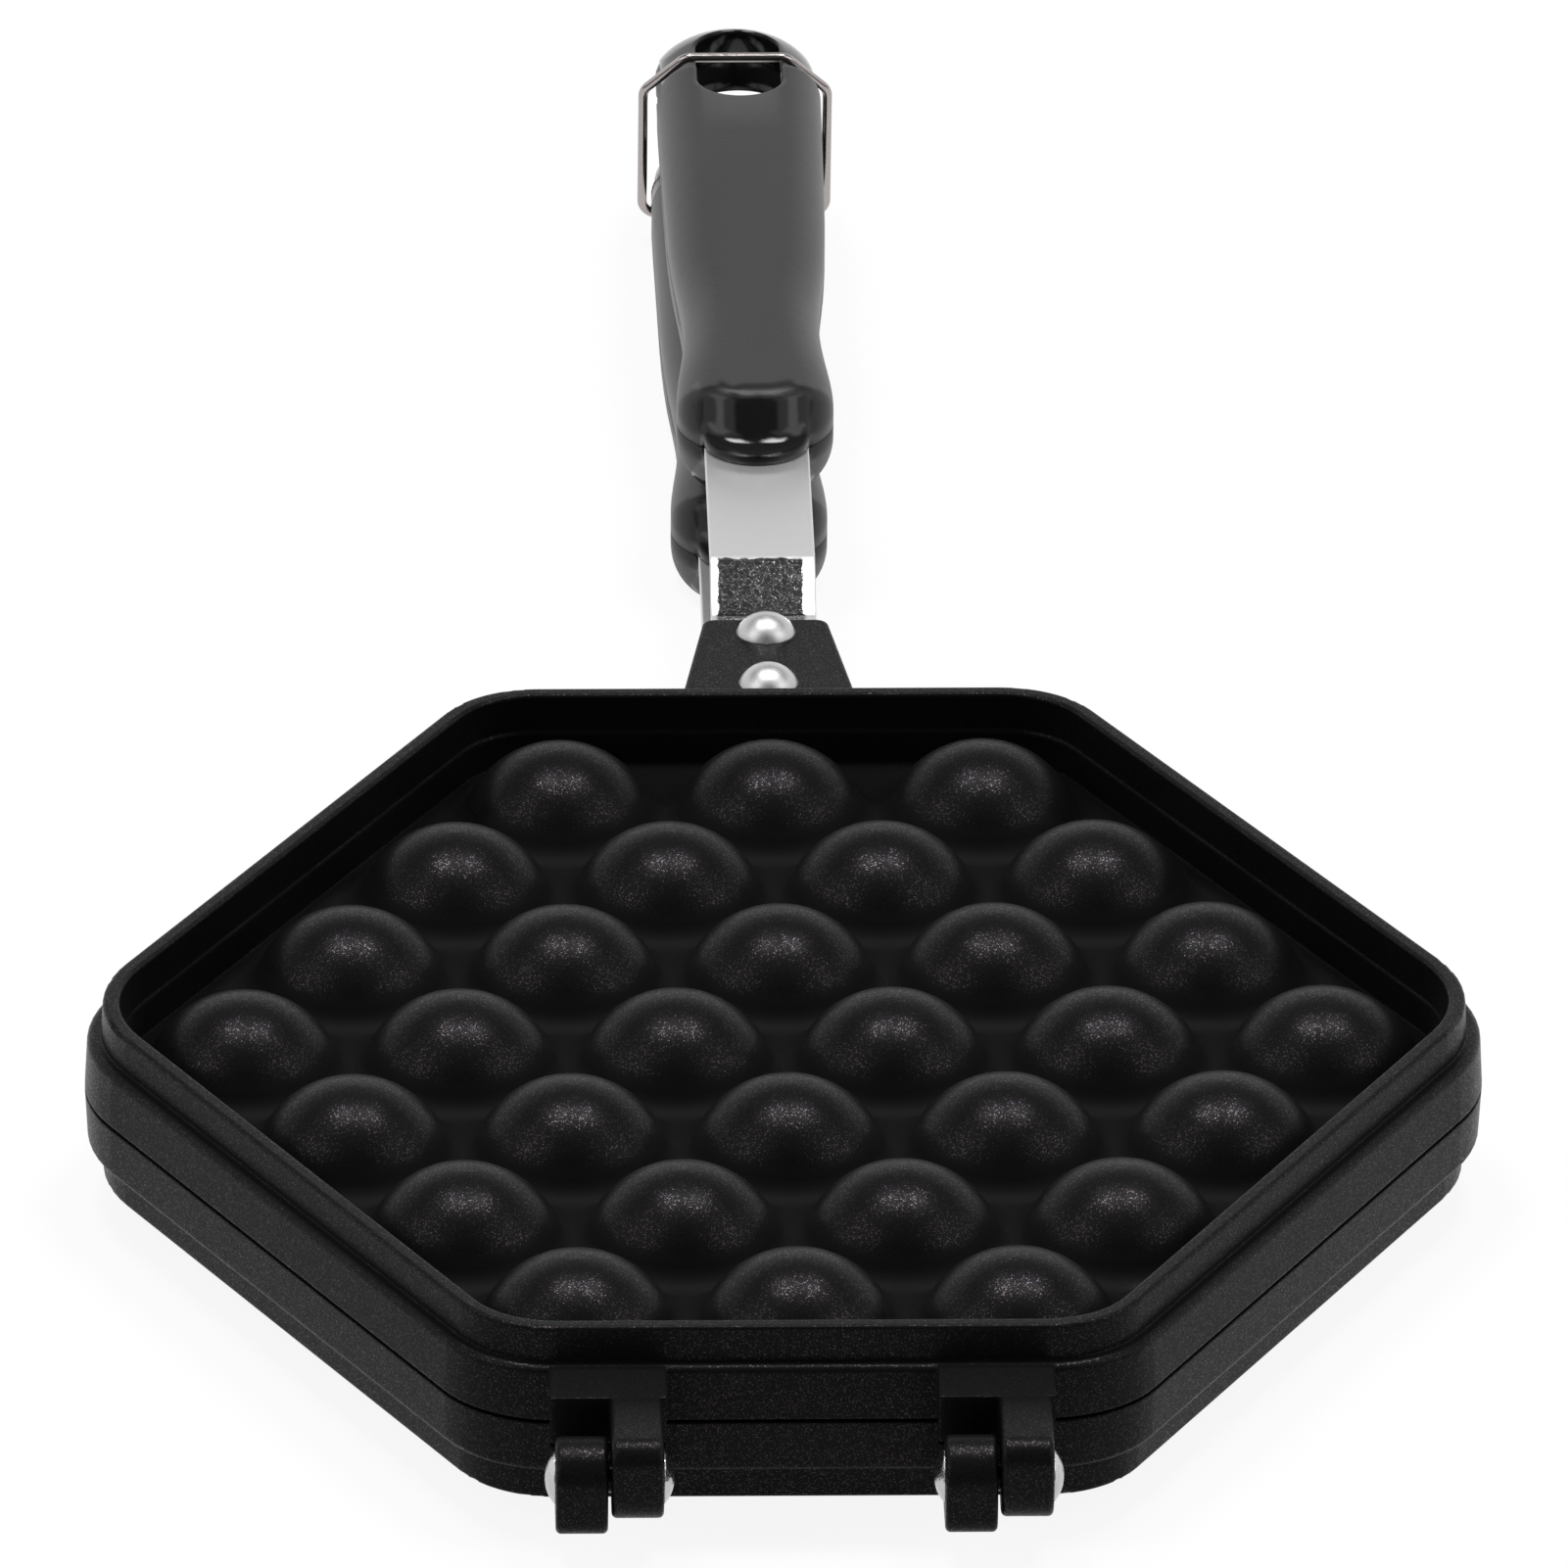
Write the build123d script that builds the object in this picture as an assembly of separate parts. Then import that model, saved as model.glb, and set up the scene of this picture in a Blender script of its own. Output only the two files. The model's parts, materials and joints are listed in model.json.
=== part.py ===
"""Hinged egg waffle pan: two cast pans with thirty cups each, on two bakelite handles.

Millimetres. X runs across the pan, Y from the hinges to the handles and Z up.
Every piece is drawn about the middle of the cup field, with z = 0 on the parting plane
between the two castings. The upper set is drawn, and the lower set is the same castings
and mouldings turned half way round the Y axis. At the end all pieces move together, so that
the origin is under the middle of the pan's outline, on the table.
"""

from build123d import *
import math
import os

# ---- Cup field: a triangular grid with its longest row in the middle ----
cup_pitch = 31.5
end_row_cups = 3
middle_row_cups = 6
cup_radius = 12.6
cup_wall = 2.4
dome_rise = 13.7
dome_foot_radius = 4.0

# ---- Casting ----
floor_rise = 2.5
web_recess = 0.6
web_margin = 15.5
rim_margin = 21.8
rim_width = 3.2
rim_draft = 3.0
rim_edge_radius = 0.6
flange_height = 8.4
flange_step = 2.0
flange_edge_radius = 1.2
side_corner_radius = 25.5
end_corner_radius = 16.5
parting_gap = 0.6

# ---- Hinges ----
hinge_spacing = 55.0
pin_reach = 16.6
pin_radius = 2.2
pin_head_radius = 3.9
pin_head_height = 1.5
pin_clearance = 0.05
knuckle_width = 7.4
knuckle_radius = 5.8
knuckle_height = 7.4
knuckle_gap = 0.5
knuckle_corner = 3.6
knuckle_edge_radius = 0.8
hinge_block_gap = 0.3
hinge_block_overhang = 0.6

# ---- Tang and rivets ----
tang_offset = 0.4
tang_length = 31.5
tang_root_width = 28.0
tang_tip_width = 18.6
tang_corner = 2.0
tang_edge_radius = 0.5
tang_thickness = 3.7
rivet_spacing = 17.4
rivet_edge = 4.5
rivet_shank_radius = 2.5
rivet_head_radius = 4.5
rivet_head_height = 3.0
rivet_tail_radius = 3.8
rivet_tail_height = 1.6
rivet_clearance = 0.05

# ---- Strap bracket ----
strap_width = 16.0
strap_thickness = 1.5
strap_start_gap = 3.0
strap_bend_gap = 9.0
strap_bend_run = 9.4
strap_bend_radius = 1.8
strap_edge_radius = 0.3
strap_grip = 42.0

# ---- Handle ----
handle_start = 187.3
handle_mid_height = 9.25
handle_thickness = 17.5
handle_corner_radius = 6.5
handle_end_width = 23.0
handle_near_width = 24.1
handle_near_at = 17.0
handle_neck_width = 22.4
handle_neck_at = 31.0
handle_waist_width = 21.1
handle_waist_at = 47.0
handle_rise_width = 23.4
handle_rise_at = 66.0
handle_shoulder_width = 24.9
handle_shoulder_at = 86.0
handle_far_width = 25.8
handle_far_at = 125.0
handle_straight_at = 143.0
front_face_lean = 34.0
collar_radius = 8.2
collar_height = 1.6
collar_recess = 10.0
socket_clearance = 0.1
hang_slot_width = 13.4
hang_slot_length = 32.0
hang_slot_end_wall = 9.8
hang_slot_edge_radius = 0.6
ledge_before_bar = 1.2
nose_side_step = 0.7
nose_arch = 9.4

# ---- Handle screw ----
screw_at = 34.0
screw_radius = 2.0
screw_head_radius = 3.6
screw_head_height = 2.0
screw_sink = 0.6
screw_bite = 5.0
screw_clearance = 0.05

# ---- Wire latch ----
wire_radius = 0.75
wire_bend_radius = 2.6
latch_bar_at = 136.2
latch_bar_height = 16.5
latch_pivot_at = 142.2
latch_pivot_depth = 13.4
latch_half_width = 14.6
latch_bar_half_width = 8.0
latch_shoulder_drop = 6.3
latch_end_length = 4.4
latch_swing_gap = 0.4
latch_bore_clearance = 0.05

# ---- Worked out from the sizes above ----
side_rows = middle_row_cups - end_row_cups
row_pitch = cup_pitch * math.sin(math.pi / 3)
dome_radius = cup_radius + cup_wall
cup_sink = dome_radius - dome_rise
field_half_depth = side_rows * row_pitch
field_half_slant = (middle_row_cups - 1) / 2 * row_pitch
back_y = field_half_depth + rim_margin + flange_step
front_y = -back_y
pin_y = front_y - pin_reach
tang_bottom = flange_height - tang_thickness
tang_end_y = back_y + tang_length
rear_rivet_y = tang_end_y - rivet_edge
front_rivet_y = rear_rivet_y - rivet_spacing
screw_y = handle_start + screw_at
handle_top = handle_mid_height + handle_thickness / 2
latch_bar_y = handle_start + latch_bar_at
latch_pivot_y = handle_start + latch_pivot_at
latch_reach = math.hypot(latch_bar_y - latch_pivot_y, latch_bar_height + latch_pivot_depth)
swing_reach = latch_reach - wire_radius - latch_swing_gap
nose_tip_y = latch_pivot_y + math.sqrt(swing_reach**2 - (latch_pivot_depth + handle_mid_height) ** 2)
ledge_y = latch_bar_y - ledge_before_bar
ledge_step = handle_top - latch_bar_height + wire_radius + latch_swing_gap
roomy = 2 * (field_half_depth + rim_margin + pin_reach)
overlap = 1.0
on_base = (Align.CENTER, Align.CENTER, Align.MIN)


def cup_places():
    """The middle of every cup, row by row."""
    places = []
    for row in range(-side_rows, side_rows + 1):
        cups = middle_row_cups - abs(row)
        for cup in range(cups):
            places.append(Pos((cup - (cups - 1) / 2) * cup_pitch, row * row_pitch, 0))
    return places


def hexagon(margin):
    """Outline with rounded corners at a distance outside the outer cups' middles."""
    flat = field_half_depth + margin
    slant = (field_half_slant + margin) / math.cos(math.pi / 6)
    end = slant - flat * math.tan(math.pi / 6)
    corners = [(slant, 0), (end, flat), (-end, flat), (-slant, 0), (-end, -flat), (end, -flat)]
    outline = make_face(Polyline(*corners, close=True))
    sides = outline.vertices().filter_by_position(Axis.Y, -overlap, overlap)
    outline = fillet(sides, side_corner_radius + margin - rim_margin)
    ends = outline.vertices().filter_by(lambda corner: abs(corner.Y) > flat - overlap)
    return fillet(ends, end_corner_radius + margin - rim_margin)


def drafted(outline, height):
    """Wall that leans inwards as it rises, by the casting's draft."""
    return extrude(outline, height, taper=rim_draft)


def dome():
    """Outside of one cup: a ball that flares out into the floor."""
    rise = cup_sink + floor_rise + dome_foot_radius
    run = math.sqrt((dome_radius + dome_foot_radius) ** 2 - rise**2)
    foot_middle = (run, floor_rise + dome_foot_radius)
    share = dome_radius / (dome_radius + dome_foot_radius)
    meeting = (run * share, rise * share - cup_sink)
    ball = RadiusArc((0, dome_rise), meeting, dome_radius)
    foot = RadiusArc(meeting, (run, floor_rise), -dome_foot_radius)
    below = Polyline((run, floor_rise), (run, parting_gap / 2), (0, parting_gap / 2), (0, dome_rise))
    return revolve(Plane.XZ * make_face(ball + foot + below), axis=Axis.Z)


def rounded_top(body, radius):
    """The same body with its highest edges rounded."""
    return fillet(body.faces().sort_by(Axis.Z)[-1].edges(), radius)


def shell():
    """Flange, raised rim and domed floor, hollow below."""
    depth = dome_rise - floor_rise
    pocket = hexagon(rim_margin - rim_width - depth * math.tan(math.radians(rim_draft)))
    rim = drafted(hexagon(rim_margin), dome_rise)
    rim -= Pos(0, 0, floor_rise) * extrude(pocket, depth, taper=-rim_draft)
    flange = drafted(hexagon(rim_margin + flange_step), flange_height)
    flange -= Pos(0, 0, floor_rise) * extrude(pocket, depth)
    body = rounded_top(rim, rim_edge_radius) + rounded_top(flange, flange_edge_radius)
    body += [place * dome() for place in cup_places()]
    body -= extrude(hexagon(web_margin), web_recess)
    body -= [place * Pos(0, 0, -cup_sink) * Sphere(cup_radius) for place in cup_places()]
    return body


def knuckle_profile():
    """Side view of a knuckle and its arm: round below the pin, square above it."""
    arm = Polyline(
        (pin_y, parting_gap / 2),
        (pin_y - knuckle_radius, parting_gap / 2),
        (pin_y - knuckle_radius, knuckle_height),
        (front_y + overlap, knuckle_height),
        (front_y + overlap, parting_gap / 2),
        close=True,
    )
    face = make_face(arm)
    front_corner = face.vertices().sort_by_distance((pin_y - knuckle_radius, knuckle_height))[0]
    face = fillet(front_corner, knuckle_corner)
    return face + Pos(pin_y, 0) * Circle(knuckle_radius)


def hinge_half():
    """Block on the flange behind both knuckles, and this casting's own knuckle."""
    reach = pin_reach - math.hypot(knuckle_radius, knuckle_height) - hinge_block_gap
    width = 2 * (knuckle_width + hinge_block_overhang) + knuckle_gap
    block_side = Polyline(
        (front_y + overlap, parting_gap / 2),
        (front_y - reach, parting_gap / 2),
        (front_y - reach, knuckle_height),
        (front_y, flange_height),
        (front_y + overlap, flange_height),
        close=True,
    )
    block = extrude(Plane.YZ * make_face(block_side), width / 2, both=True)
    knuckle = extrude(Plane.YZ * knuckle_profile(), knuckle_width / 2, both=True)
    knuckle = fillet(knuckle.faces().filter_by(Axis.X).edges(), knuckle_edge_radius)
    body = block + Pos((knuckle_width + knuckle_gap) / 2, 0, 0) * knuckle
    bore = Pos(0, pin_y, 0) * Rot(0, 90, 0) * Cylinder(pin_radius + pin_clearance, 2 * width)
    return body - bore


def tang():
    """Tongue at the back of the casting, which carries the strap."""
    root = tang_root_width / 2
    tip = tang_tip_width / 2
    start = back_y - overlap
    outline = make_face(
        Polyline((-root, start), (root, start), (tip, tang_end_y), (-tip, tang_end_y), close=True)
    )
    outline = fillet(outline.vertices().sort_by(Axis.Y)[2:], tang_corner)
    body = Pos(0, 0, tang_bottom) * extrude(outline, tang_thickness)
    body = rounded_top(body, tang_edge_radius)
    for y in (rear_rivet_y, front_rivet_y):
        body -= Pos(0, y, tang_bottom) * Cylinder(rivet_shank_radius + rivet_clearance, roomy)
    return Pos(tang_offset, 0, 0) * body


def pan():
    """One casting: shell, two hinge halves and tang."""
    body = shell() - Box(roomy, roomy, parting_gap)
    body += [Pos(side * hinge_spacing / 2, 0, 0) * hinge_half() for side in (-1, 1)]
    return body + tang()


def domed_head(radius, height):
    """Domed rivet head that stands on z = 0."""
    ball_radius = (radius**2 + height**2) / (2 * height)
    return Pos(0, 0, height - ball_radius) * Sphere(ball_radius) & Cylinder(radius, height, align=on_base)


def hinge_pin(x):
    """Rivet pin through both knuckles, with a domed head at each end."""
    half = knuckle_width + knuckle_gap / 2 + pin_clearance
    head = Pos(0, 0, half) * domed_head(pin_head_radius, pin_head_height)
    pin = Cylinder(pin_radius, 2 * half) + head + Rot(180, 0, 0) * head
    return Pos(x, pin_y, 0) * Rot(0, 90, 0) * pin


def rivet(y):
    """Rivet through tang and strap, with a domed head above and a flat tail below."""
    stack = tang_thickness + strap_thickness
    body = Pos(0, 0, -stack) * Cylinder(rivet_shank_radius, stack, align=on_base)
    body += domed_head(rivet_head_radius, rivet_head_height)
    tail = Cylinder(rivet_tail_radius, rivet_tail_height, align=on_base)
    body += Pos(0, 0, -stack - rivet_tail_height) * tail
    return Pos(tang_offset, y, flange_height) * body


def bracket():
    """Bent strap from under the tang up into the middle of the handle."""
    low = tang_bottom - strap_thickness / 2
    bend = tang_end_y + strap_bend_gap
    path = FilletPolyline(
        (back_y + strap_start_gap, low),
        (bend, low),
        (bend + strap_bend_run, handle_mid_height),
        (handle_start + strap_grip, handle_mid_height),
        radius=strap_bend_radius,
    )
    body = extrude(Plane.YZ * trace(path, strap_thickness), strap_width / 2, both=True)
    body = fillet(body.faces().filter_by(Axis.X).edges(), strap_edge_radius)
    for y in (rear_rivet_y, front_rivet_y):
        body -= Pos(0, y, 0) * Cylinder(rivet_shank_radius + rivet_clearance, roomy)
    body -= Pos(0, screw_y, 0) * Cylinder(screw_radius + screw_clearance, roomy)
    return Pos(tang_offset, 0, 0) * body


def grip():
    """Bar with rounded corners: near bulge, waist and wide far end."""
    widths = {
        0: handle_end_width,
        handle_near_at: handle_near_width,
        handle_neck_at: handle_neck_width,
        handle_waist_at: handle_waist_width,
        handle_rise_at: handle_rise_width,
        handle_shoulder_at: handle_shoulder_width,
        (handle_shoulder_at + handle_far_at) / 2: (handle_shoulder_width + handle_far_width) / 2,
        handle_far_at: handle_far_width,
        handle_straight_at: handle_far_width,
        nose_tip_y - handle_start: handle_far_width,
    }
    sections = []
    for along, width in widths.items():
        across = Plane(origin=(0, handle_start + along, 0), x_dir=(1, 0, 0), z_dir=(0, 1, 0))
        sections.append(across * RectangleRounded(width, handle_thickness, handle_corner_radius))
    return loft(sections)


def front_face():
    """What the near end keeps: a round front as high as the collar, leaning back above it."""
    radius = handle_near_width / 2
    behind = Rectangle(handle_near_width + 2 * overlap, roomy, align=(Align.CENTER, Align.MIN))
    plan = Pos(0, handle_start + handle_near_at, 0) * (Circle(radius) + behind)
    level = strap_thickness / 2 + collar_height
    lean = Vector(0, math.tan(math.radians(front_face_lean)), 1)
    leaning = extrude(Pos(0, 0, level) * plan, handle_thickness, dir=lean)
    return extrude(plan, level, both=True) + leaning + mirror(leaning, about=Plane.XY)


def swing_room():
    """Room inside the latch as it swings over the nose, about the pivot of the wire."""
    middle = swing_reach - nose_arch
    half_width = handle_far_width / 2 + tang_offset
    arch = Pos(0, middle) * Ellipse(half_width, nose_arch)
    below = Rectangle(2 * half_width, middle, align=(Align.CENTER, Align.MIN))
    upper = Rectangle(2 * half_width, swing_reach, align=(Align.CENTER, Align.MIN))
    room = revolve((arch + below) & upper, axis=Axis.X)
    return Pos(-tang_offset, latch_pivot_y, -latch_pivot_depth - handle_mid_height) * room


def nose_cut():
    """What the far end loses: a ledge for the latch bar and the rounding that its swing needs."""
    length = nose_tip_y - ledge_y + overlap
    beyond = Pos(0, ledge_y, 0) * Box(roomy, length, roomy, align=(Align.CENTER, Align.MIN, Align.CENTER))
    height = handle_thickness / 2 - ledge_step
    step = extrude(Plane.XZ * Ellipse(handle_far_width / 2 - nose_side_step, height), -roomy * 2)
    upper = Box(roomy, roomy * 4, roomy, align=on_base)
    room = swing_room()
    kept = beyond & room & mirror(room, about=Plane.XY)
    kept -= upper - step
    return beyond - kept


def in_slot(point, slot_y):
    """Whether a point lies on the slot's rim above or below the seam."""
    across = abs(point.X) < hang_slot_width / 2 + overlap
    along = abs(point.Y - slot_y) < hang_slot_length / 2 + overlap
    return across and along and abs(point.Z) > handle_corner_radius


def hang_slot(body):
    """The same body with the slot through its far end, its edges rounded."""
    slot_y = nose_tip_y - hang_slot_end_wall - hang_slot_length / 2
    slot = Pos(0, slot_y) * SlotOverall(hang_slot_length, hang_slot_width, rotation=90)
    cutter = extrude(slot, roomy, both=True)
    body -= cutter
    rims = [edge for edge in body.edges() if in_slot(edge.center(), slot_y)]
    return fillet(rims, hang_slot_edge_radius)


def handle():
    """Bakelite handle with its seam plane on z = 0."""
    body = hang_slot(grip())
    near = Pos(0, handle_start, 0) * Box(roomy, 2 * handle_near_at + handle_thickness, roomy)
    body -= near - front_face()
    body -= nose_cut()
    relief = Box(strap_width + 2 * socket_clearance, 2 * collar_recess, strap_thickness + 2 * collar_height)
    body -= Pos(0, handle_start, 0) * relief
    collar = Cylinder(collar_radius, strap_thickness + 2 * collar_height)
    body += Pos(0, handle_start + collar_radius, 0) * collar
    socket = Box(
        strap_width + 2 * socket_clearance,
        2 * (strap_grip + socket_clearance),
        strap_thickness + 2 * socket_clearance,
    )
    body -= Pos(0, handle_start, 0) * socket
    mouth = Cylinder(screw_head_radius + screw_clearance, 2 * screw_sink)
    body -= Pos(0, screw_y, -handle_thickness / 2) * mouth
    return body - screw(screw_clearance)


def screw(clearance=0.0):
    """Screw from the inner side through the strap, or the hole that it needs."""
    head = Cylinder(screw_head_radius + clearance, screw_head_height + 2 * clearance, align=on_base)
    length = handle_thickness / 2 - screw_sink + screw_bite + 2 * clearance
    shank = Cylinder(screw_radius + clearance, length, align=on_base)
    return Pos(0, screw_y, screw_sink - handle_thickness / 2 - clearance) * (head + shank)


def latch():
    """Wire bail that hooks over the far end of both handles."""
    inner = latch_half_width - latch_end_length
    shoulder = latch_reach - latch_shoulder_drop
    path = FilletPolyline(
        (-inner, 0),
        (-latch_half_width, 0),
        (-latch_half_width, shoulder),
        (-latch_bar_half_width, latch_reach),
        (latch_bar_half_width, latch_reach),
        (latch_half_width, shoulder),
        (latch_half_width, 0),
        (inner, 0),
        radius=wire_bend_radius,
    )
    wire = sweep(Plane(origin=path @ 0, z_dir=path % 0) * Circle(wire_radius), path=path)
    lean = math.degrees(math.atan2(latch_bar_y - latch_pivot_y, latch_bar_height + latch_pivot_depth))
    return Pos(0, latch_pivot_y, -latch_pivot_depth) * Rot(90 - lean, 0, 0) * wire


def latch_bores():
    """Blind holes in both sides of the lower handle, for the ends of the wire."""
    radius = wire_radius + latch_bore_clearance
    bottom = latch_half_width - latch_end_length - latch_bore_clearance
    bore = Pos(0, 0, bottom) * Cylinder(radius, latch_half_width, align=on_base)
    mouth = Cone(radius, radius + wire_bend_radius / 2, wire_bend_radius, align=on_base)
    bore += Pos(0, 0, latch_half_width - wire_bend_radius) * mouth
    bore = Pos(0, latch_pivot_y, -latch_pivot_depth) * Rot(0, 90, 0) * bore
    return bore + mirror(bore, about=Plane.YZ)


def assembly():
    """Every piece by name, drawn about the parting plane."""
    casting = pan()
    strap = bracket()
    grip_body = Pos(tang_offset, 0, handle_mid_height) * handle()
    handle_screw = Pos(tang_offset, 0, handle_mid_height) * screw()
    front_rivet = rivet(front_rivet_y)
    rear_rivet = rivet(rear_rivet_y)
    turned = Rot(0, 180, 0)
    return {
        "upper_pan": casting,
        "upper_bracket": strap,
        "upper_front_rivet": front_rivet,
        "upper_rear_rivet": rear_rivet,
        "upper_handle": grip_body,
        "upper_handle_screw": handle_screw,
        "lower_pan": turned * casting,
        "lower_bracket": turned * strap,
        "lower_front_rivet": turned * front_rivet,
        "lower_rear_rivet": turned * rear_rivet,
        "lower_handle": turned * grip_body - latch_bores(),
        "lower_handle_screw": turned * handle_screw,
        "left_hinge_pin": hinge_pin(-hinge_spacing / 2),
        "right_hinge_pin": hinge_pin(hinge_spacing / 2),
        "latch_bail": latch(),
    }


pieces = assembly()
extent = Compound(list(pieces.values())).bounding_box()
home = Pos(-extent.center().X, -extent.center().Y, -extent.min.Z)
print("parting plane and latch pivot at z", -extent.min.Z, -extent.min.Z - latch_pivot_depth)
print("hinge pins and latch pivot at y", pin_y - extent.center().Y, latch_pivot_y - extent.center().Y)
print("middle of the cup field at y", -extent.center().Y)
os.makedirs("parts", exist_ok=True)
for name, piece in pieces.items():
    export_step(home * piece, f"parts/{name}.step")
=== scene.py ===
# %% [markdown]
# # Dressing a hinged egg waffle pan
#
# The pan is two black castings on two handles, held shut by a wire latch. Its solids come from the
# imported model, so their shapes and places are already right. What is left for this file is how the
# surfaces look, two small forms of the handles' mould, and a studio to show them in.
#
# The frame comes first.

# %% Load the frame
import json
import math

import bmesh
import bpy
from mathutils import Matrix, Vector


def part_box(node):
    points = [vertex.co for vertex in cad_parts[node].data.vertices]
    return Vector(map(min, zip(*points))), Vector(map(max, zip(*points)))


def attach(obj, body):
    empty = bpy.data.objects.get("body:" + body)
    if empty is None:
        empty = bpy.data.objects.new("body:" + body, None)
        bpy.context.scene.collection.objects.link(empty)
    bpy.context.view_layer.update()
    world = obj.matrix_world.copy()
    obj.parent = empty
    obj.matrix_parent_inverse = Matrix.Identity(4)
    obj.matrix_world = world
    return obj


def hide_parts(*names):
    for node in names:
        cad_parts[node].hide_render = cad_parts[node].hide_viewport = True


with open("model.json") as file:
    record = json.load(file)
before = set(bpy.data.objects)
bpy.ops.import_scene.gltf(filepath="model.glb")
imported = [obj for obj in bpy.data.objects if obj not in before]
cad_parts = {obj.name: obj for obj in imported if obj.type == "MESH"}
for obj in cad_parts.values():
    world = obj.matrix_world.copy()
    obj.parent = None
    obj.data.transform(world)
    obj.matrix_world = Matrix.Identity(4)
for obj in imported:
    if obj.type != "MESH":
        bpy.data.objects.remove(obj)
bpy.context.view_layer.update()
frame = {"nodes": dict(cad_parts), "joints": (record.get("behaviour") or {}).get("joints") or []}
nodes = frame["nodes"]
hinge = next(joint for joint in frame["joints"] if joint["name"] == "pan_hinge")
hinge_line = Vector(hinge["pos_m"])
print("frame", sorted(nodes))

# %% [markdown]
# ## Places that the rest of the file shares
#
# Lengths are in metres. The parting plane is where the two castings meet, and the pan turns about the
# hinge line in that plane. The middle of the cup field is a fixed distance behind the hinge, and each
# handle's middle plane lies a fixed height above or below the parting plane. Everything else is
# measured from the frame, so a script like this still fits when the frame is packed again.

# %% Shared places
MM = 0.001
CUP_PITCH = 31.5 * MM
HINGE_TO_MIDDLE = 122.24 * MM
HANDLE_MID_HEIGHT = 9.25 * MM
parting = hinge_line.z
pan_middle = Vector((0, hinge_line.y + HINGE_TO_MIDDLE, parting))
handle_near_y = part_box("upper_handle")[0].y
print("parting plane", round(parting, 4), "cup field", tuple(round(v, 4) for v in pan_middle))
print("handles start at", round(handle_near_y, 4))

# %% [markdown]
# ## Camera
#
# The regular grid of cups fixes the camera: thirty dome middles in the photograph are thirty known
# points, and one set of angles, one distance and one lens explain them all. They fit best when the
# middle of the grid is taken a little below the parting plane. The lens is very long, so the pan
# hardly narrows towards its handles. Blender can aim a camera with a constraint, but the angles
# are known here, so they are turned into three axes, which are the columns of its rotation.

# %% Camera
AZIMUTH = math.radians(1.578)
ELEVATION = math.radians(26.354)
ROLL = math.radians(0.475)
DISTANCE = 106.293 * CUP_PITCH
SIDE_STEP = -0.010 * CUP_PITCH
RISE = 1.416 * CUP_PITCH
GRID_SINK = 1.3 * MM
IMAGE_SIDE = 1601
FOCAL_LENGTH = 23422
SENSOR = 36.0
FAR_LIMIT = 20.0


def camera_axes():
    """Right, up and forward directions of the camera."""
    level = math.cos(ELEVATION)
    forward = Vector((math.sin(AZIMUTH) * level, math.cos(AZIMUTH) * level, -math.sin(ELEVATION)))
    right = Vector((math.cos(AZIMUTH), -math.sin(AZIMUTH), 0))
    return right, right.cross(forward), forward


def add_camera():
    """The photograph's camera."""
    right, up, forward = camera_axes()
    aim = pan_middle - Vector((0, 0, GRID_SINK))
    place = aim - forward * DISTANCE + right * SIDE_STEP + up * RISE
    rolled_right = right * math.cos(ROLL) + up * math.sin(ROLL)
    rolled_up = up * math.cos(ROLL) - right * math.sin(ROLL)
    lens = bpy.data.cameras.new("camera")
    lens.sensor_width = SENSOR
    lens.lens = FOCAL_LENGTH / IMAGE_SIDE * SENSOR
    lens.clip_end = FAR_LIMIT
    camera = bpy.data.objects.new("camera", lens)
    columns = Matrix((rolled_right, rolled_up, -forward)).transposed()
    camera.matrix_world = Matrix.Translation(place) @ columns.to_4x4()
    bpy.context.scene.collection.objects.link(camera)
    bpy.context.scene.camera = camera
    print("camera at", tuple(round(v, 3) for v in place), "lens", round(lens.lens, 1))


add_camera()

# %% [markdown]
# ## A way to write materials as sums
#
# A material is a graph of nodes. It could be wired by hand, node by node, but that hides the idea
# behind the wiring. So one small class wraps a wire of the graph and gives it the usual signs:
# `1 - mask` adds the Math node that subtracts. Every other node comes from `add`, which takes the
# node's kind, its settings and what its sockets get.

# %% Wires
class Wire:
    """A wire in a material's graph, or the start of one."""

    def __init__(self, tree, socket=None):
        self.tree = tree
        self.socket = socket

    def add(self, kind, settings=None, sockets=None, output=0):
        """A new node of this kind, as the wire that leaves one of its outputs."""
        node = self.tree.nodes.new(kind)
        for name, value in (settings or {}).items():
            setattr(node, name, value)
        for name, value in (sockets or {}).items():
            if isinstance(value, Wire):
                self.tree.links.new(value.socket, node.inputs[name])
            else:
                node.inputs[name].default_value = value
        return Wire(self.tree, node.outputs[output])

    def apply(self, operation, second=0.0, first=None):
        """One Math node. This wire comes first, unless something else is given as first."""
        sockets = {0: self if first is None else first, 1: second}
        return self.add("ShaderNodeMath", {"operation": operation}, sockets)

    def __add__(self, other):
        return self.apply("ADD", other)

    def __radd__(self, other):
        return self.apply("ADD", self, other)

    def __sub__(self, other):
        return self.apply("SUBTRACT", other)

    def __rsub__(self, other):
        return self.apply("SUBTRACT", self, other)

    def __mul__(self, other):
        return self.apply("MULTIPLY", other)

    def __rmul__(self, other):
        return self.apply("MULTIPLY", self, other)


print("wires add nodes by", "+", "-", "*", "and add()")

# %% [markdown]
# A few shapes of wire are used again and again: the place on a piece, a soft step between two
# values, grain from noise, a mix of two colours and a relief. Grain is given by the size of its lumps
# in metres, because that is how a maker thinks of it.

# %% Places and masks
def place_on(start):
    """Where a point of the piece lies, in metres, wherever the piece is moved."""
    return start.add("ShaderNodeTexCoord", output="Object")


def axis_of(place, axis):
    """One coordinate of a place or a direction."""
    return place.add("ShaderNodeSeparateXYZ", sockets={0: place}, output=axis)


def from_plane(place):
    """Height of a point above or below the parting plane."""
    return (axis_of(place, 2) - parting).apply("ABSOLUTE")


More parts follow.
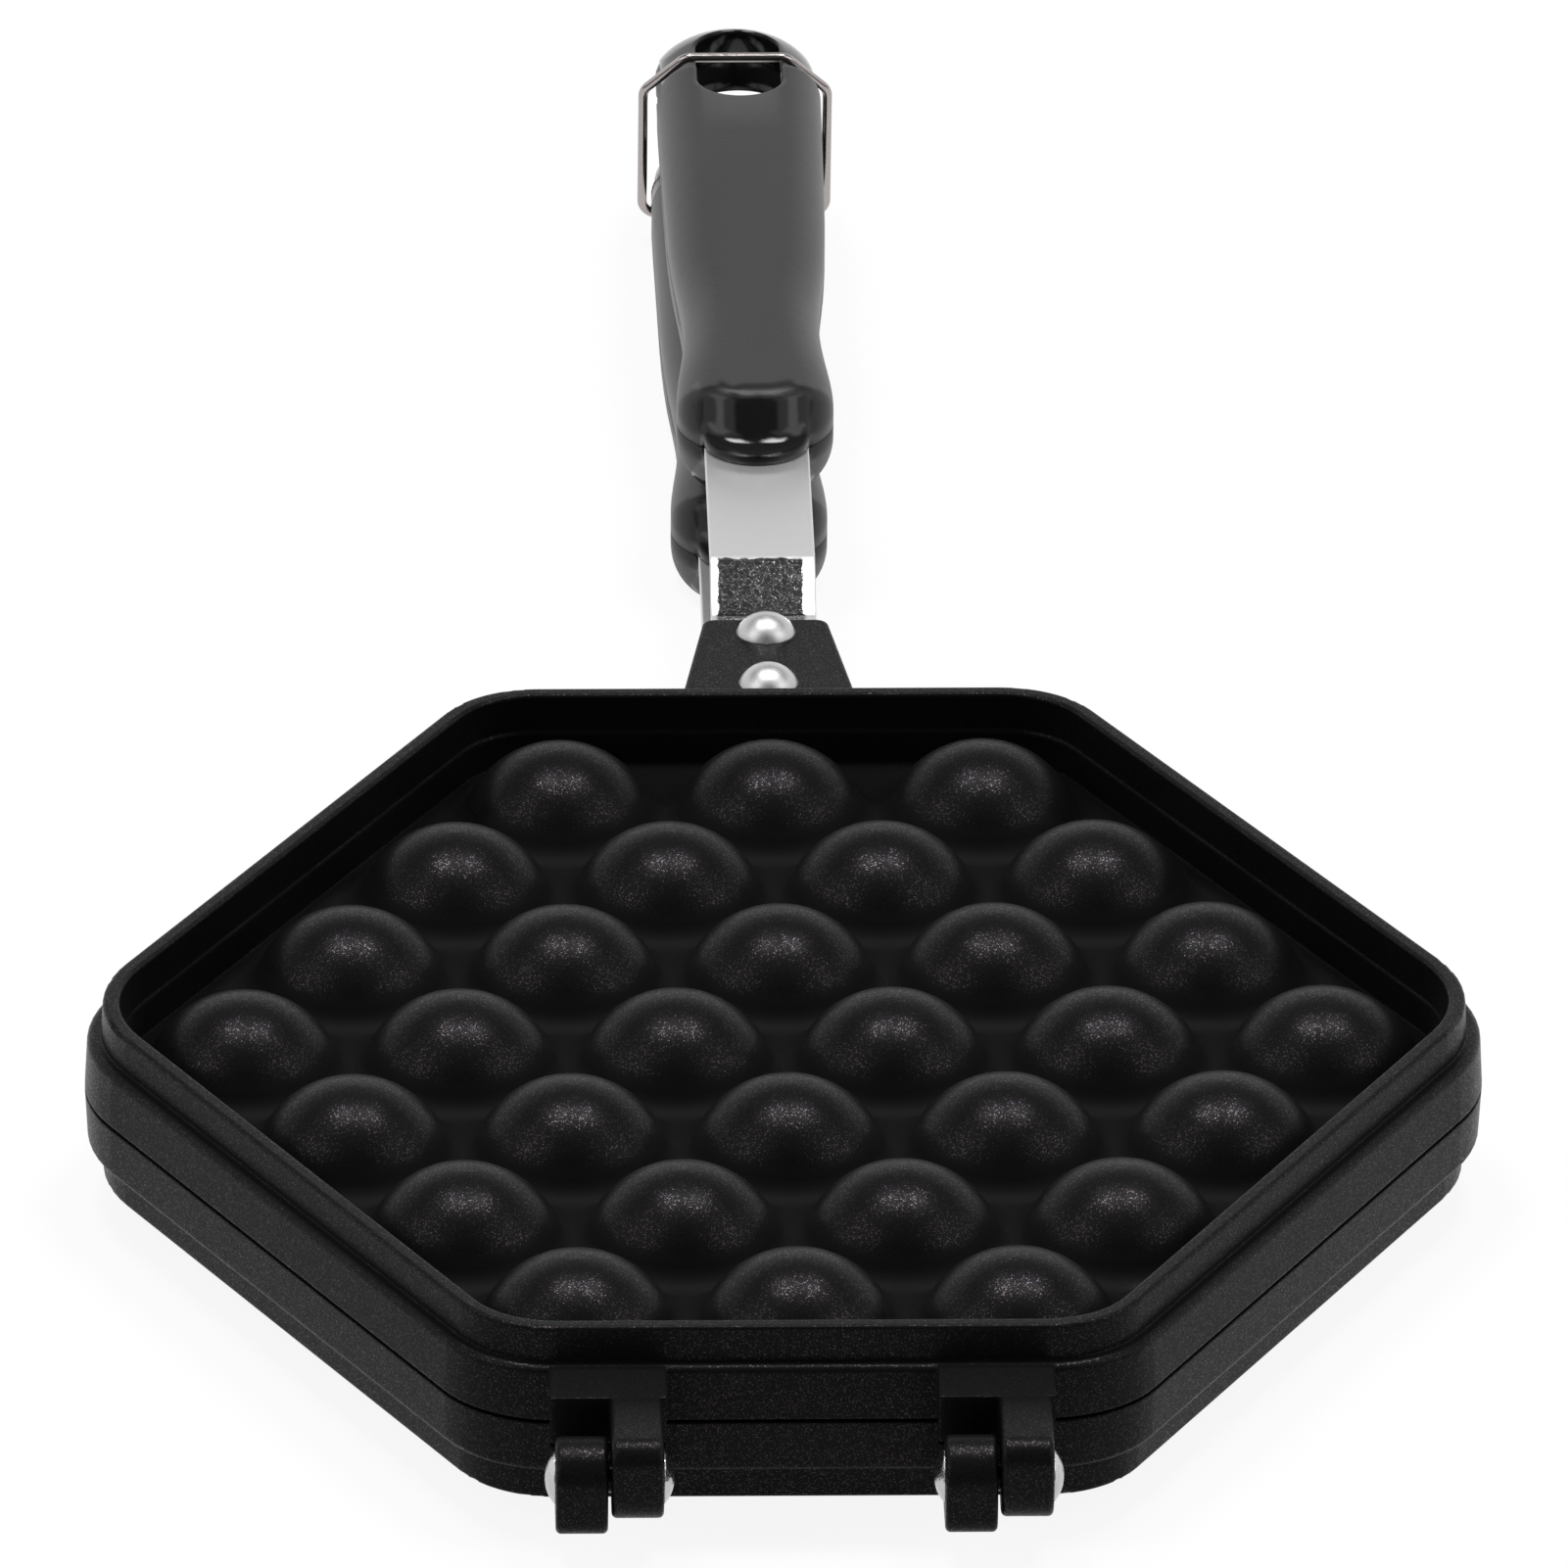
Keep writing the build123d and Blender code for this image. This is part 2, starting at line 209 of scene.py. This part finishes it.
def outside(value):
    """The value where it is above 0, and 0 elsewhere."""
    return value.apply("MAXIMUM")


def step_between(value, low, high):
    """0 below low, 1 above high and a soft step between them."""
    sockets = {"Value": value, "From Min": low, "From Max": high}
    return value.add("ShaderNodeMapRange", {"interpolation_type": "SMOOTHSTEP"}, sockets)


def between(value, low, high, soft):
    """1 from low to high, and 0 beyond, with soft ends."""
    risen = step_between(value, low - soft, low + soft)
    return risen * (1 - step_between(value, high - soft, high + soft))


# %% Grain, colour and relief
BEVEL_SAMPLES = 6


def grain(place, lump, detail=2.0, stretch=(1, 1, 1)):
    """Noise from 0 to 1 whose lumps have this size."""
    scaled = place.add("ShaderNodeMapping", sockets={"Vector": place, "Scale": stretch})
    sockets = {"Vector": scaled, "Scale": 1 / lump, "Detail": detail}
    return place.add("ShaderNodeTexNoise", sockets=sockets)


def blend_colours(mask, below, above):
    """A colour that goes from below to above as the mask goes from 0 to 1."""
    sockets = {"Factor": mask, 6: below, 7: above}
    return mask.add("ShaderNodeMix", {"data_type": "RGBA"}, sockets, output=2)


def relief(height, depth, normal):
    """Surface normal with this relief, depth metres high, over another normal."""
    sockets = {"Height": height, "Distance": depth, "Strength": 1.0, "Normal": normal}
    return height.add("ShaderNodeBump", sockets=sockets)


def eased_edges(start, radius):
    """Normal that rounds off sharp edges by a small radius."""
    return start.add("ShaderNodeBevel", {"samples": BEVEL_SAMPLES}, {"Radius": radius})


def grey(value):
    """A neutral colour."""
    return (value, value, value, 1)


# %% A finish
def finish(name, build, **fixed):
    """A new material. build gives what varies over it, and fixed what is the same all over."""
    material = bpy.data.materials.new(name)
    material.use_nodes = True
    shader = material.node_tree.nodes["Principled BSDF"]
    for socket, value in fixed.items():
        shader.inputs[socket.replace("_", " ")].default_value = value
    for socket, wire in build(Wire(material.node_tree)).items():
        material.node_tree.links.new(wire.socket, shader.inputs[socket])
    print("finish", name, "nodes", len(material.node_tree.nodes))
    return material


# %% [markdown]
# ## Non-stick coating
#
# The castings are aluminium under a sprayed black coating. Up close it is a little grainy, and it
# holds fine metal flakes. A flake under a black layer is dark too, so it hardly shows in shade, but
# where a lamp is mirrored each flake sends the light its own way, and the reflection breaks up
# into sparkles.
#
# Pale specks painted on would be quick, but they show in shade as well. So the surface is cut into tiny
# cells, and some of them become a dark, tinted metal that leans a little, while the rest is a
# dull black. In the valleys between the cups the flakes are left out and the coat is rougher: painted
# shade that dims the web and the lamps' reflection at the foot of the domes.

# %% Flakes
FLAKE_SIZE = 0.14 * MM
FLAKE_SHARE = 0.19
FLAKE_EDGE = 0.3
FLAKE_LEAN = 0.14
CELL_MIDDLE = (0.5, 0.5, 0.5)


def leaning(normal, cell_colour, amount):
    """A normal that leans another way in every cell."""
    subtract = {"operation": "SUBTRACT"}
    lean = normal.add("ShaderNodeVectorMath", subtract, {0: cell_colour, 1: CELL_MIDDLE})
    lean = normal.add("ShaderNodeVectorMath", {"operation": "SCALE"}, {0: lean, "Scale": amount})
    return normal.add("ShaderNodeVectorMath", {"operation": "ADD"}, {0: normal, 1: lean})


# %% Valleys between the cups
VALLEY_HEIGHT = 5.5 * MM
VALLEY_FADE = 2 * MM
VALLEY_REACH = 84 * MM
VALLEY_REACH_FADE = 4 * MM


# Painted shade: where this mask is 1, the coat loses its flakes and gets rougher, so the web reads darker.
def valley_shade_mask(place):
    """1 on the web between the cups, and 0 on the domes, the rim and the walls."""
    sockets = {0: place, 1: tuple(pan_middle)}
    distance = {"operation": "DISTANCE"}
    away = place.add("ShaderNodeVectorMath", distance, sockets, output="Value")
    low = 1 - step_between(from_plane(place), VALLEY_HEIGHT, VALLEY_HEIGHT + VALLEY_FADE)
    return low * (1 - step_between(away, VALLEY_REACH, VALLEY_REACH + VALLEY_REACH_FADE))


# %% Coating
SPRAY_GRAIN = 0.35 * MM
SPRAY_DEPTH = 0.012 * MM
COAT_EDGE = 0.5 * MM
PATCH_SIZE = 14 * MM
COAT_DARK = (0.0045, 0.0045, 0.0048, 1)
COAT_PALE = (0.0062, 0.0060, 0.0062, 1)
FLAKE_COOL = (0.040, 0.032, 0.047, 1)
FLAKE_WARM = (0.052, 0.044, 0.038, 1)


def coating(start):
    """Dull black with fine flakes."""
    place = place_on(start)
    valley_shade = valley_shade_mask(place)
    cells = {"Vector": place, "Scale": 1 / FLAKE_SIZE, "Randomness": 1.0}
    cell_colour = place.add("ShaderNodeTexVoronoi", sockets=cells, output="Color")
    noise = {"noise_dimensions": "3D"}
    chance = place.add("ShaderNodeTexWhiteNoise", noise, {"Vector": cell_colour})
    # Painted shade: no flakes in the valleys.
    flakes = step_between(chance, 1 - FLAKE_SHARE, 1) * (1 - valley_shade)
    metallic = step_between(flakes, 0.0, FLAKE_EDGE)
    tint = blend_colours(axis_of(cell_colour, 1), FLAKE_COOL, FLAKE_WARM)
    body = blend_colours(grain(place, PATCH_SIZE), COAT_DARK, COAT_PALE)
    spray = grain(place, SPRAY_GRAIN, detail=3.0)
    sprayed = relief(spray, SPRAY_DEPTH, eased_edges(start, COAT_EDGE))
    return {
        "Base Color": blend_colours(flakes, body, tint),
        "Metallic": metallic,
        "Roughness": 0.33 + 0.06 * spray - 0.07 * metallic + 0.25 * valley_shade,
        "Normal": leaning(sprayed, cell_colour, FLAKE_LEAN * metallic),
    }


coated = finish("coated_casting", coating, Specular_IOR_Level=0.055)

# %% [markdown]
# ## Bakelite
#
# The handles are moulded in black phenolic resin. The grip comes from a finely blasted mould and
# is satin. The leaning face round the strip comes from a polished part of the mould, and so does
# the nose past the latch bar, and both are glossy.
#
# Two materials, given out face by face, would need the border to run along edges of the mesh. It
# doesn't, so one material gets a mask. The polished face has straight sides that flare, a straight
# top and rounded corners, and the mask measures how far a point lies outside such a shape. Both handles are
# the same moulding, one turned over, so all heights are taken from the parting plane.

# %% Polished parts
FACE_HALF_WIDTH = 8.3 * MM
FACE_FLARE = 0.29
FACE_FLARE_FROM = 2.5 * MM
FACE_CORNER = 1.8 * MM
FACE_TOP = 7.9 * MM
FACE_DEPTH = 15 * MM
FACE_FADE = 1 * MM
BORDER = 0.1 * MM
LEDGE_START = 130.3 * MM
NOSE_INSIDE = 2 * MM
NOSE_OUTSIDE = 4 * MM


def near_face_mask(place, along):
    """1 on the leaning face round the strip."""
    from_middle = (from_plane(place) - HANDLE_MID_HEIGHT).apply("ABSOLUTE")
    half_width = FACE_HALF_WIDTH + FACE_FLARE * outside(from_middle - FACE_FLARE_FROM)
    beside = outside(axis_of(place, 0).apply("ABSOLUTE") - half_width + FACE_CORNER)
    above = outside(from_middle - FACE_TOP + FACE_CORNER)
    corner = (beside * beside + above * above).apply("SQRT")
    inside = 1 - step_between(corner, FACE_CORNER - BORDER, FACE_CORNER + BORDER)
    return inside * (1 - step_between(along, FACE_DEPTH, FACE_DEPTH + FACE_FADE))


def nose_mask(place, along):
    """1 on the tip past the latch bar, but not on the side that faces the other handle."""
    past_ledge = step_between(along, LEDGE_START - BORDER, LEDGE_START)
    return past_ledge * step_between(from_plane(place), NOSE_INSIDE, NOSE_OUTSIDE)


# %% Handle finish
BLAST_GRAIN = 0.35 * MM
BLAST_DEPTH = 0.03 * MM
MOULD_EDGE = 1.2 * MM
HAZE_SIZE = 9 * MM
POLISHED_ROUGHNESS = 0.07


def bakelite(start):
    """Satin black resin with a polished near face and nose."""
    place = place_on(start)
    along = axis_of(place, 1) - handle_near_y
    polished = near_face_mask(place, along).apply("MAXIMUM", nose_mask(place, along))
    satin = 1 - polished
    haze = grain(place, HAZE_SIZE, stretch=(1, 0.25, 1))
    blasted = grain(place, BLAST_GRAIN) * satin
    return {
        "Base Color": blend_colours(haze, grey(0.007), grey(0.010)),
        "Roughness": satin * (0.34 + 0.06 * haze) + polished * POLISHED_ROUGHNESS,
        "Normal": relief(blasted, BLAST_DEPTH, eased_edges(start, MOULD_EDGE)),
    }


resin = finish("bakelite", bakelite, Specular_IOR_Level=0.30)

# %% [markdown]
# ## Steel strip
#
# The strip that joins each casting to its handle is stainless steel with a satin skin, which
# mirrors the pale surroundings without any outlines. Where the strip slopes, the bending tool rubbed
# the middle of it smooth and left it finely dented. Smooth metal shows what is overhead, which is dark
# between the lamps, so this patch reads dark with bright streaks, inside a clean bright border.
#
# The dents alone could give that pattern, but only under these lamps. Some of it is in the colour too,
# as a grey film in the dents and as a painted reflection: dark like the overhead it mirrors, with painted
# bright streaks, so it also shows in other light.

# %% Rubbed patch
PAN_BACK = 105.64 * MM
SLOPE_START = 38.0 * MM
SLOPE_END = 49.5 * MM
RUBBED_HALF_WIDTH = 6.6 * MM
RUBBED_FADE = 0.4 * MM
RAG_SIZE = 1.2 * MM
RAG_REACH = 1 * MM


def rubbed_mask(place):
    """1 in the middle of the strip's slope, with a ragged border."""
    ragged = (grain(place, RAG_SIZE, detail=3.0) - 0.5) * RAG_REACH
    along = axis_of(place, 1) - (pan_middle.y + PAN_BACK) + ragged
    across = axis_of(place, 0) + ragged
    rubbed = between(along, SLOPE_START, SLOPE_END, RUBBED_FADE)
    return rubbed * between(across, -RUBBED_HALF_WIDTH, RUBBED_HALF_WIDTH, RUBBED_FADE)


# %% Strip finish
ROLLED_GRAIN = 0.25 * MM
ROLLED_DEPTH = 0.004
DENT_SIZE = 0.9 * MM
DENT_DEPTH = 0.014
PAINTED_STREAK_SIZE = 0.8 * MM
PAINTED_STREAK_WIDTH = 0.05
FILM_AND_REFLECTION_SIZE = 2.5 * MM
STRIP_EDGE = 0.25 * MM


def strip(start):
    """Satin stainless steel with a rubbed patch on its slope, whose colour holds a painted reflection."""
    place = place_on(start)
    rubbed = rubbed_mask(place)
    satin = 1 - rubbed
    rolled = grain(place, ROLLED_GRAIN, detail=3.0, stretch=(1, 0.1, 1))
    dents = grain(place, DENT_SIZE, detail=6.0)
    # Painted reflection in the patch's colour: a dark mottle with painted bright streaks, over a grey film
    # in the dents.
    off_painted_streak = (grain(place, PAINTED_STREAK_SIZE, detail=8.0) - 0.5).apply("ABSOLUTE")
    painted_streaks = 1 - step_between(off_painted_streak, 0.0, PAINTED_STREAK_WIDTH)
    film_and_painted_reflection = blend_colours(painted_streaks * grain(place, FILM_AND_REFLECTION_SIZE), grey(0.15), grey(0.95))
    bare = blend_colours(rolled, grey(0.68), grey(0.73))
    height = rolled * ROLLED_DEPTH * satin + dents * DENT_DEPTH * rubbed
    return {
        "Base Color": blend_colours(rubbed, bare, film_and_painted_reflection),
        "Roughness": satin * (0.42 + 0.06 * rolled) + rubbed * 0.07,
        "Normal": relief(height, MM, eased_edges(start, STRIP_EDGE)),
    }


strip_steel = finish("strip_steel", strip, Metallic=1.0)

# %% [markdown]
# ## Rivets, pins, screws and wire
#
# The rivets are soft aluminium, pressed into a domed shape, with a satin skin under a thin clear
# lacquer, which adds two tiny reflections of the lamps. The hinge pins are steel, and their heads
# were hammered over, which leaves shallow dents. The latch is drawn wire with a warm nickel plating,
# and the screws are plain zinc-plated steel.
#
# Four materials could be written out in full, but all are metal with a base colour, a roughness
# and a fine relief of their own. So one function builds them from those few values.

# %% Small metals
DARKER = 0.8
UNEVEN_SHINE = 0.12


def metal(colour, shine, lump, depth, edge):
    """Builds a metal finish: colour, roughness, and the size and depth of its unevenness."""
    darker = tuple(part * DARKER for part in colour[:3]) + (1,)

    def build(start):
        uneven = grain(place_on(start), lump, detail=3.0)
        return {
            "Base Color": blend_colours(uneven, darker, colour),
            "Roughness": shine + UNEVEN_SHINE * uneven,
            "Normal": relief(uneven, depth, eased_edges(start, edge)),
        }

    return build


aluminium = metal(grey(0.58), shine=0.36, lump=0.8 * MM, depth=0.004 * MM, edge=0.3 * MM)
zinc = metal(grey(0.58), shine=0.24, lump=0.5 * MM, depth=0.01 * MM, edge=0.2 * MM)
nickel = metal((0.45, 0.41, 0.40, 1), shine=0.16, lump=0.6 * MM, depth=0.002 * MM, edge=0.1 * MM)
rivet_metal = finish("rivet_aluminium", aluminium, Metallic=1.0, Coat_Weight=1.0, Coat_Roughness=0.1)
screw_metal = finish("screw_steel", zinc, Metallic=1.0)
wire_metal = finish("latch_wire", nickel, Metallic=1.0)

# %% Hinge pins
PIN_GAP = 1.6 * MM
PIN_FADE = 0.4 * MM
SHANK_PAINTED_SHADE = grey(0.01)
pin_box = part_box("right_hinge_pin")
pin_middle_x = (pin_box[0].x + pin_box[1].x) / 2
hammered = metal(grey(0.66), shine=0.14, lump=1.3 * MM, depth=0.2 * MM, edge=0.3 * MM)


def hinge_pin(start):
    """Hammered steel heads, and a shank painted black between the knuckles as painted shade."""
    wires = hammered(start)
    from_pin_middle = axis_of(place_on(start), 0).apply("ABSOLUTE") - pin_middle_x
    # Painted shade: the shank is black where it lies between the knuckles.
    bare = step_between(from_pin_middle.apply("ABSOLUTE"), PIN_GAP, PIN_GAP + PIN_FADE)
    wires["Base Color"] = blend_colours(bare, SHANK_PAINTED_SHADE, wires["Base Color"])
    return wires


pin_metal = finish("pin_steel", hinge_pin, Metallic=1.0)

# %% [markdown]
# ## Give each solid its finish
#
# The solids stay where they are and keep their shapes. Each one only swaps its plain material for
# the finish that fits the last word of its name, which saves a list of all fifteen.

# %% Dress the solids
FINISHES = {
    "pan": coated,
    "handle": resin,
    "bracket": strip_steel,
    "rivet": rivet_metal,
    "pin": pin_metal,
    "screw": screw_metal,
    "bail": wire_metal,
}


def dress(node_name):
    """Puts the finish on a solid by the last word of its name."""
    wanted = FINISHES[node_name.split("_")[-1]]
    for slot in nodes[node_name].material_slots:
        slot.material = wanted
    return wanted.name


for node_name in sorted(nodes):
    print(node_name, "gets", dress(node_name))

# %% [markdown]
# ## Handles with a seam and a longer ledge
#
# A two-part mould leaves a seam round each handle, half way up, and a ledge for the latch bar is
# sunk into the outer side of its tip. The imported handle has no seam, and its ledge starts so close to
# the bar that the bar is half hidden, where the real one starts a few millimetres earlier. A solid
# mustn't be changed, so both are made in a copy of its mesh, which then stands for the solid.

# %% Working on copies
WELD = 0.001 * MM


def add_object(name, mesh):
    """A new object in the scene with this mesh."""
    added = bpy.data.objects.new(name, mesh)
    bpy.context.scene.collection.objects.link(added)
    return added


def copy_of(node_name, piece_name):
    """A copy of a solid, with the corners of neighbouring faces joined."""
    mesh = nodes[node_name].data.copy()
    mesh.name = piece_name
    shape = bmesh.new()
    shape.from_mesh(mesh)
    bmesh.ops.remove_doubles(shape, verts=shape.verts, dist=WELD)
    shape.to_mesh(mesh)
    shape.free()
    return add_object(piece_name, mesh)


def prism(name, outline, low, high):
    """A solid with this XZ outline that runs along Y from low to high."""
    mesh = bpy.data.meshes.new(name)
    shape = bmesh.new()
    ends = [[shape.verts.new((x, y, z)) for x, z in outline] for y in (low, high)]
    for end in ends:
        shape.faces.new(end)
    for first in range(len(outline)):
        second = (first + 1) % len(outline)
        shape.faces.new((ends[0][first], ends[0][second], ends[1][second], ends[1][first]))
    bmesh.ops.recalc_face_normals(shape, faces=shape.faces)
    shape.to_mesh(mesh)
    shape.free()
    return add_object(name, mesh)


def cut(piece, cutter):
    """Takes the cutter out of the piece, and deletes the cutter."""
    modifier = piece.modifiers.new("cut", "BOOLEAN")
    modifier.operation = "DIFFERENCE"
    modifier.solver = "EXACT"
    modifier.object = cutter
    depsgraph = bpy.context.evaluated_depsgraph_get()
    mesh = bpy.data.meshes.new_from_object(piece.evaluated_get(depsgraph))
    piece.modifiers.clear()
    piece.data = mesh
    bpy.data.objects.remove(cutter)
    print(piece.name, "faces after the cut", len(mesh.polygons))


# %% [markdown]
# The seam could be a thin wire pressed into the handle with a Boolean, but its outline changes all the
# way round. Slicing needs no outline: three planes close together cut lines round the mesh, and
# the points of the middle line move inwards by the depth of the seam.

# %% Seam
SEAM_DEPTH = 0.35 * MM
SEAM_HALF_WIDTH = 0.2 * MM
STEEPEST = 0.5


def add_seam(piece, height):
    """Pulls a thin groove into the piece all round at this height."""
    shape = bmesh.new()
    shape.from_mesh(piece.data)
    for step in (-SEAM_HALF_WIDTH, 0, SEAM_HALF_WIDTH):
        geometry = [*shape.verts, *shape.edges, *shape.faces]
        level = (0, 0, height + step)
        bmesh.ops.bisect_plane(shape, geom=geometry, plane_co=level, plane_no=(0, 0, 1))
    shape.normal_update()
    moved = 0
    for corner in shape.verts:
        sideways = Vector((corner.normal.x, corner.normal.y, 0))
        if abs(corner.co.z - height) < WELD and sideways.length > STEEPEST:
            corner.co -= sideways.normalized() * SEAM_DEPTH
            moved += 1
    shape.to_mesh(piece.data)
    shape.free()
    print(piece.name, "seam points", moved)


# %% [markdown]
# The ledge is an arch, lower than the handle's outer side. A Boolean fits here, because the real
# mould takes away the same simple shape: all that lies over the arch. The cutter ends just past the
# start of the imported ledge, so no sliver is left between the two.

# %% Ledge
LEDGE_HALF_WIDTH = 12.22 * MM
LEDGE_HEIGHT = 6.12 * MM
LEDGE_END = 135.4 * MM
HANDLE_STEP = 0.4 * MM
CUTTER_HALF_WIDTH = 16 * MM
CUTTER_HEIGHT = 12 * MM
ARCH_STEPS = 48


def ledge_cutter(side):
    """What the ledge takes away: all over an arch, on the outer side of a handle."""
    middle = parting + side * HANDLE_MID_HEIGHT
    wide, tall = CUTTER_HALF_WIDTH, CUTTER_HEIGHT
    outline = [(wide, 0), (wide, tall), (-wide, tall), (-wide, 0)]
    for step in range(ARCH_STEPS + 1):
        turn = math.pi * (1 - step / ARCH_STEPS)
        outline.append((LEDGE_HALF_WIDTH * math.cos(turn), LEDGE_HEIGHT * math.sin(turn)))
    outline = [(x + side * HANDLE_STEP, middle + side * z) for x, z in outline]
    return prism("ledge_cutter", outline, handle_near_y + LEDGE_START, handle_near_y + LEDGE_END)


# %% [markdown]
# Both handles go through the same steps. Faces that meet at a small angle are shaded as one
# smooth surface, and the rest keep their edge, as the arris of the ledge does on the real handle.

# %% Handles
SMOOTH_BELOW = math.radians(24)


def finish_handle(side, node_name, body):
    """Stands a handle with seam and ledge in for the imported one."""
    piece = copy_of(node_name, node_name + "_moulding")
    cut(piece, ledge_cutter(side))
    add_seam(piece, parting + side * HANDLE_MID_HEIGHT)
    piece.data.shade_smooth()
    piece.data.set_sharp_from_angle(angle=SMOOTH_BELOW)
    piece.data.materials.clear()
    piece.data.materials.append(resin)
    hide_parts(node_name)
    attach(piece, body)


finish_handle(1, "upper_handle", "upper_half")
finish_handle(-1, "lower_handle", "lower_half")

# %% [markdown]
# ## Studio
#
# The photograph was taken in a tent with lamps above and at both sides. A picture of a studio
# wrapped round the scene would do, but plain lamps are clearer. The reflections on the domes
# say where they stood, because a dome shows each lamp where its surface points half way between
# lamp and lens. Two small strong lamps hang close together almost straight above. At each side stands
# a soft box, which fades outwards, so a wide dim lamp lies round a narrower one. All are soft squares
# that face the pan.

# %% Lamps
LAMP_DISTANCE = 2.0
LEFT = (-0.70, -0.25, 0.67)
RIGHT = (0.73, -0.24, 0.64)
lamps = {
    "lamp_above_left": ((-0.178, 0.183, 0.966), 0.46, 17.0),
    "lamp_above_right": ((0.210, 0.187, 0.958), 0.46, 17.0),
    "lamp_left": (LEFT, 0.9, 5.8),
    "lamp_right": (RIGHT, 0.9, 5.8),
    "glow_left": (LEFT, 1.8, 7.8),
    "glow_right": (RIGHT, 1.8, 7.8),
}


def add_lamp(name, direction, side, power):
    """A square lamp that faces the middle of the pan."""
    light = bpy.data.lights.new(name, "AREA")
    light.size = side
    light.energy = power
    lamp = bpy.data.objects.new(name, light)
    towards = Vector(direction).normalized()
    lamp.location = pan_middle + towards * LAMP_DISTANCE
    lamp.rotation_euler = towards.to_track_quat("Z", "Y").to_euler()
    bpy.context.scene.collection.objects.link(lamp)


for lamp_name, (direction, side, power) in lamps.items():
    add_lamp(lamp_name, direction, side, power)
print("lamps", len(lamps))

# %% [markdown]
# The tent is white behind the pan, from the floor to somewhat under half way up, and dark overhead and
# on the camera's side. That is what the steel and the polished resin mirror. The camera itself sees
# plain white.

# %% Surroundings
TENT_WHITE = 0.95
TENT_TOP = 0.66
TENT_FADE = 0.22
BEHIND_FROM = -0.30
BEHIND_TO = 0.20
CEILING = 0.06
FRONT = 0.05


def add_surroundings():
    """White for the camera, and for everything else a white wall behind under a dark ceiling."""
    world = bpy.data.worlds.new("studio")
    world.use_nodes = True
    start = Wire(world.node_tree)
    direction = start.add("ShaderNodeTexCoord", output="Generated")
    behind = step_between(axis_of(direction, 1), BEHIND_FROM, BEHIND_TO)
    low = 1 - step_between(axis_of(direction, 2), TENT_TOP - TENT_FADE, TENT_TOP)
    tent = CEILING * behind + FRONT + (TENT_WHITE - CEILING) * (behind * low)
    camera_ray = start.add("ShaderNodeLightPath", output="Is Camera Ray")
    brightness = camera_ray + (1 - camera_ray) * tent
    background = world.node_tree.nodes["Background"]
    world.node_tree.links.new(brightness.socket, background.inputs["Color"])
    background.inputs["Strength"].default_value = 1.0
    bpy.context.scene.world = world
    print("world", world.name, "nodes", len(world.node_tree.nodes))


add_surroundings()

# %% [markdown]
# The floor is pale and matte. What the camera sees of it is lifted towards white, as a well-lit
# table would be, and the rest of it is plain diffuse, so the pan still casts a soft shadow. In mirrors
# it is white behind the pan and a little dimmer in front of it, where less of the tent's light falls.

# %% Floor finish
FLOOR_WHITE = grey(0.86)
FLOOR_LIFT = 0.9
FLOOR_FRONT = 0.8
DIM_BEFORE = -0.30
BRIGHT_AFTER = 0.05


def floor_finish():
    """Matte white that is lifted for the camera and for mirrors."""
    material = bpy.data.materials.new("floor")
    material.use_nodes = True
    tree = material.node_tree
    tree.nodes.remove(tree.nodes["Principled BSDF"])
    start = Wire(tree)
    seen = start.add("ShaderNodeLightPath", output="Is Camera Ray")
    mirrored = start.add("ShaderNodeLightPath", output="Is Glossy Ray")
    behind = step_between(axis_of(place_on(start), 1), DIM_BEFORE, BRIGHT_AFTER)
    shine = seen + mirrored * (FLOOR_FRONT + (1 - FLOOR_FRONT) * behind)
    matte = start.add("ShaderNodeBsdfDiffuse", sockets={"Color": FLOOR_WHITE})
    white = start.add("ShaderNodeEmission", sockets={"Color": shine, "Strength": 1.0})
    lift = seen * FLOOR_LIFT + mirrored
    mixed = start.add("ShaderNodeMixShader", sockets={0: lift, 1: matte, 2: white})
    tree.links.new(mixed.socket, tree.nodes["Material Output"].inputs["Surface"])
    return material


# %% Floor
FLOOR_HALF_SIDE = 6.0
CORNERS = [(-1, -1), (1, -1), (1, 1), (-1, 1)]


def add_floor():
    """A large square under the pan."""
    mesh = bpy.data.meshes.new("floor")
    shape = bmesh.new()
    half = FLOOR_HALF_SIDE
    shape.faces.new([shape.verts.new((x * half, y * half, 0)) for x, y in CORNERS])
    shape.to_mesh(mesh)
    shape.free()
    mesh.materials.append(floor_finish())
    add_object("floor", mesh)
    print("floor", 2 * half, "metres wide")


add_floor()

# %% [markdown]
# ## Colour
#
# Colours are shown as they are written.

# %% Close
bpy.context.scene.view_settings.view_transform = "Standard"
